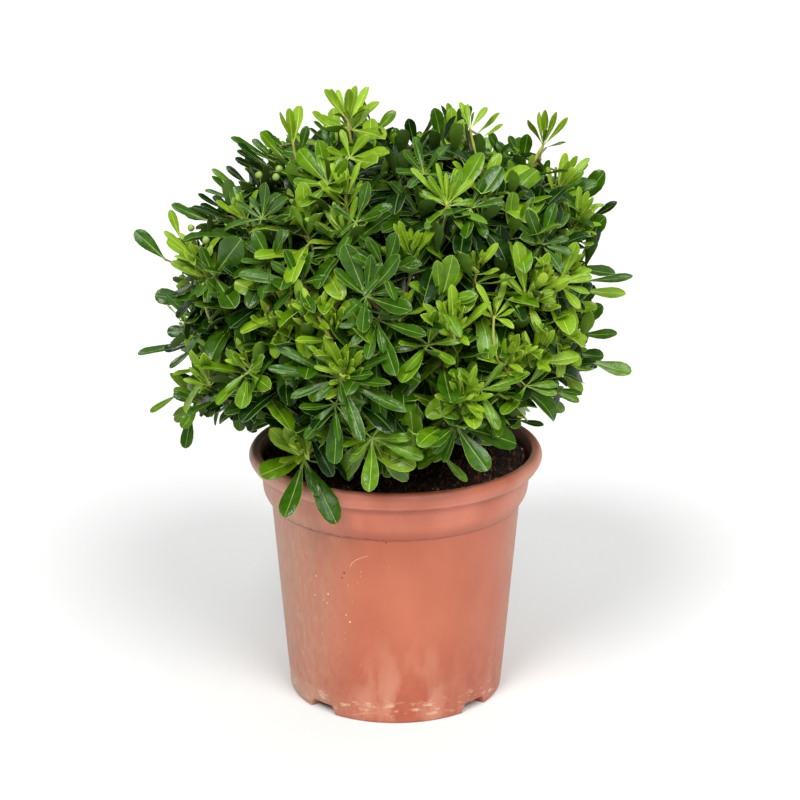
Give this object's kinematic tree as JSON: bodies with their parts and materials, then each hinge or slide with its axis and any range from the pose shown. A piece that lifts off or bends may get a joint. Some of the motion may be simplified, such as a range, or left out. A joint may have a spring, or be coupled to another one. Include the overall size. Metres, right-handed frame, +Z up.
{
  "type": "potted dwarf japanese pittosporum",
  "caption": "Dense rounded evergreen shrub with blunt glossy leaves in rosettes, growing in a round tapered terracotta-coloured plastic nursery pot.",
  "frame": {"origin": "middle of the flat underside of the pot", "axes": "+Z up along the pot, -Y towards the front as pictured, +X to the right seen from the front"},
  "size_m": [0.3894, 0.3784, 0.5025],
  "materials": {
    "plastic": "satin",
    "potting_mix": "matt",
    "bark": "matt",
    "foliage": "satin"
  },
  "bodies": {
    "root": {"pot": "plastic", "potting_mix": "potting_mix", "main_stem": "bark", "bough_skirt_1": "bark", "bough_skirt_2": "bark", "bough_skirt_3": "bark", "bough_skirt_4": "bark", "bough_skirt_5": "bark", "bough_skirt_6": "bark", "bough_skirt_7": "bark", "bough_middle_1": "bark", "bough_middle_2": "bark", "bough_middle_3": "bark", "bough_middle_4": "bark", "bough_middle_5": "bark", "bough_middle_6": "bark", "bough_middle_7": "bark", "bough_top_1": "bark", "bough_top_2": "bark", "bough_top_3": "bark", "bough_top_4": "bark", "bough_top_5": "bark", "foliage_skirt_1": "foliage", "foliage_skirt_2": "foliage", "foliage_skirt_3": "foliage", "foliage_skirt_4": "foliage", "foliage_skirt_5": "foliage", "foliage_skirt_6": "foliage", "foliage_skirt_7": "foliage", "foliage_middle_1": "foliage", "foliage_middle_2": "foliage", "foliage_middle_3": "foliage", "foliage_middle_4": "foliage", "foliage_middle_5": "foliage", "foliage_middle_6": "foliage", "foliage_middle_7": "foliage", "foliage_top_1": "foliage", "foliage_top_2": "foliage", "foliage_top_3": "foliage", "foliage_top_4": "foliage", "foliage_top_5": "foliage"}
  },
  "joints": []
}
